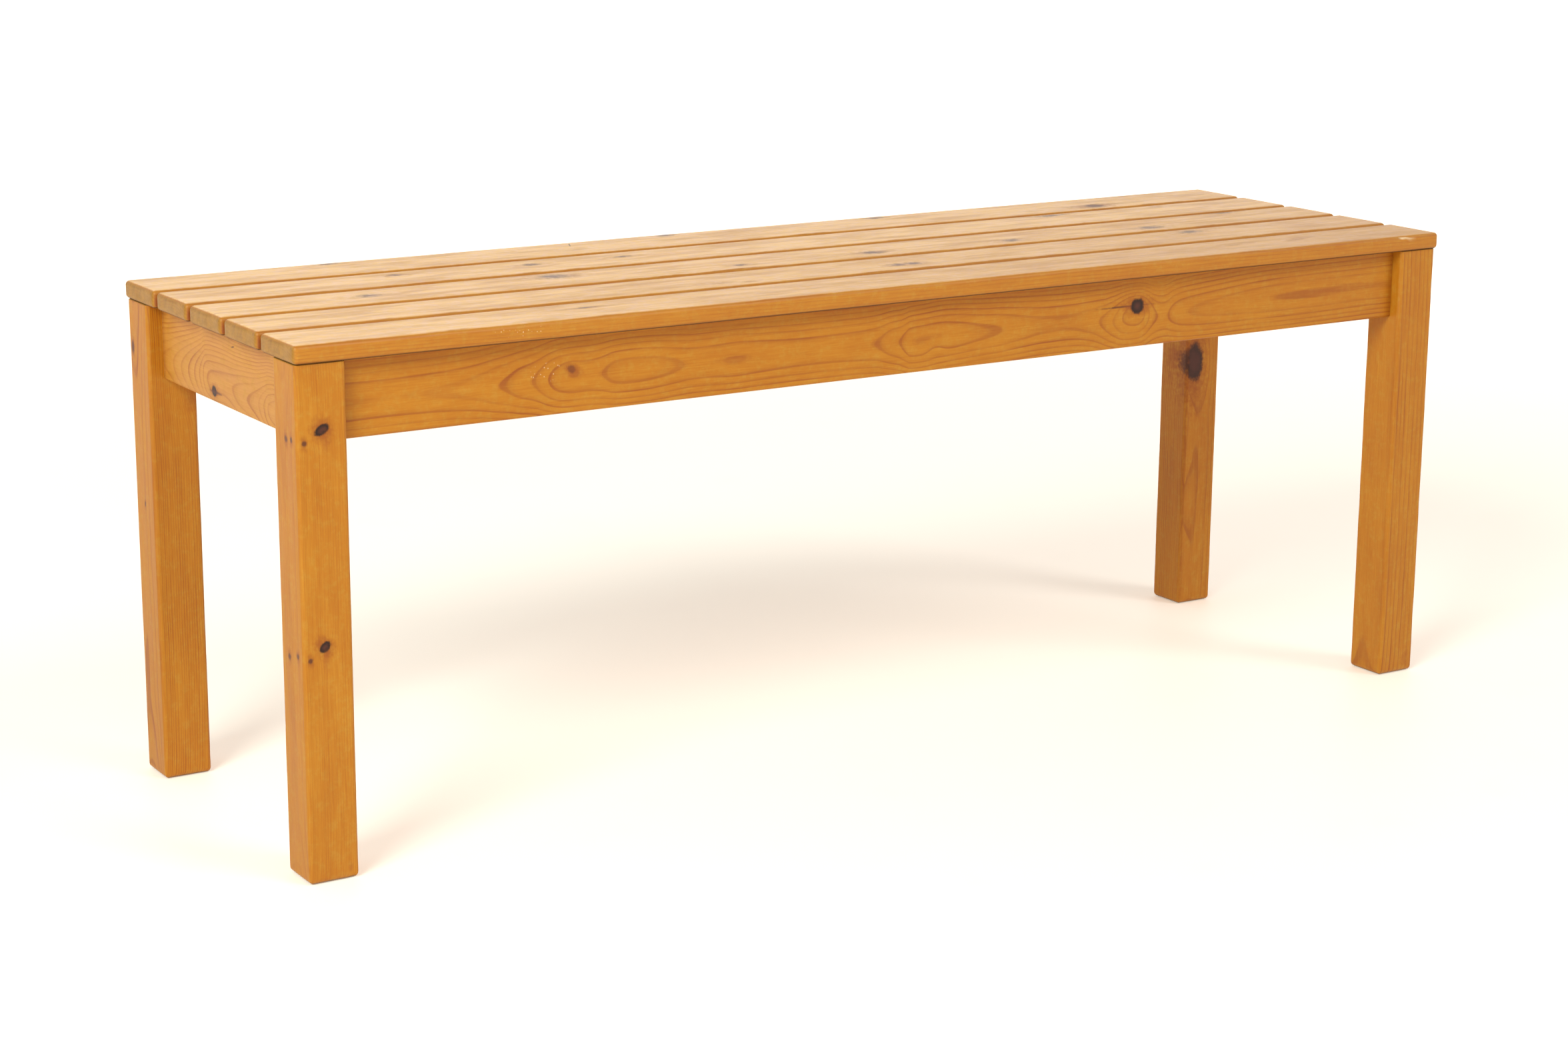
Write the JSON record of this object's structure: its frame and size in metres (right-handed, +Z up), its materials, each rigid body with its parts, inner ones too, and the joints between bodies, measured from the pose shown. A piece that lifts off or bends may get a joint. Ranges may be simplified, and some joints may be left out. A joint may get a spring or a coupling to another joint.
{
  "type": "slatted bench",
  "caption": "Low slatted pine bench: lengthwise seat boards on a frame of square legs and aprons, for sitting or setting things down.",
  "frame": {"origin": "on the floor, under the middle of the seat", "axes": "+X along the seat to the right of someone facing the bench, +Y from front to back, +Z up"},
  "size_m": [1.245, 0.378, 0.46],
  "materials": {
    "seat_pine": "worn clear lacquer on planed pine, paler on top",
    "frame_pine": "honey coloured clear lacquer on planed pine",
    "hidden_pine": "planed pine with one thin coat of lacquer",
    "zinc_screw": "bright zinc plated steel"
  },
  "bodies": {
    "root": {"back_apron": "frame_pine", "back_left_block_screws": "zinc_screw", "back_left_corner_block": "hidden_pine", "back_left_leg": "frame_pine", "back_right_block_screws": "zinc_screw", "back_right_corner_block": "hidden_pine", "back_right_leg": "frame_pine", "front_apron": "frame_pine", "front_left_block_screws": "zinc_screw", "front_left_corner_block": "hidden_pine", "front_left_leg": "frame_pine", "front_right_block_screws": "zinc_screw", "front_right_corner_block": "hidden_pine", "front_right_leg": "frame_pine", "left_batten": "hidden_pine", "left_batten_screws": "zinc_screw", "left_end_apron": "frame_pine", "middle_batten": "hidden_pine", "middle_batten_screws": "zinc_screw", "right_batten": "hidden_pine", "right_batten_screws": "zinc_screw", "right_end_apron": "frame_pine", "seat_slat_1": "seat_pine", "seat_slat_2": "seat_pine", "seat_slat_3": "seat_pine", "seat_slat_4": "seat_pine", "seat_slat_5": "seat_pine"}
  },
  "joints": []
}
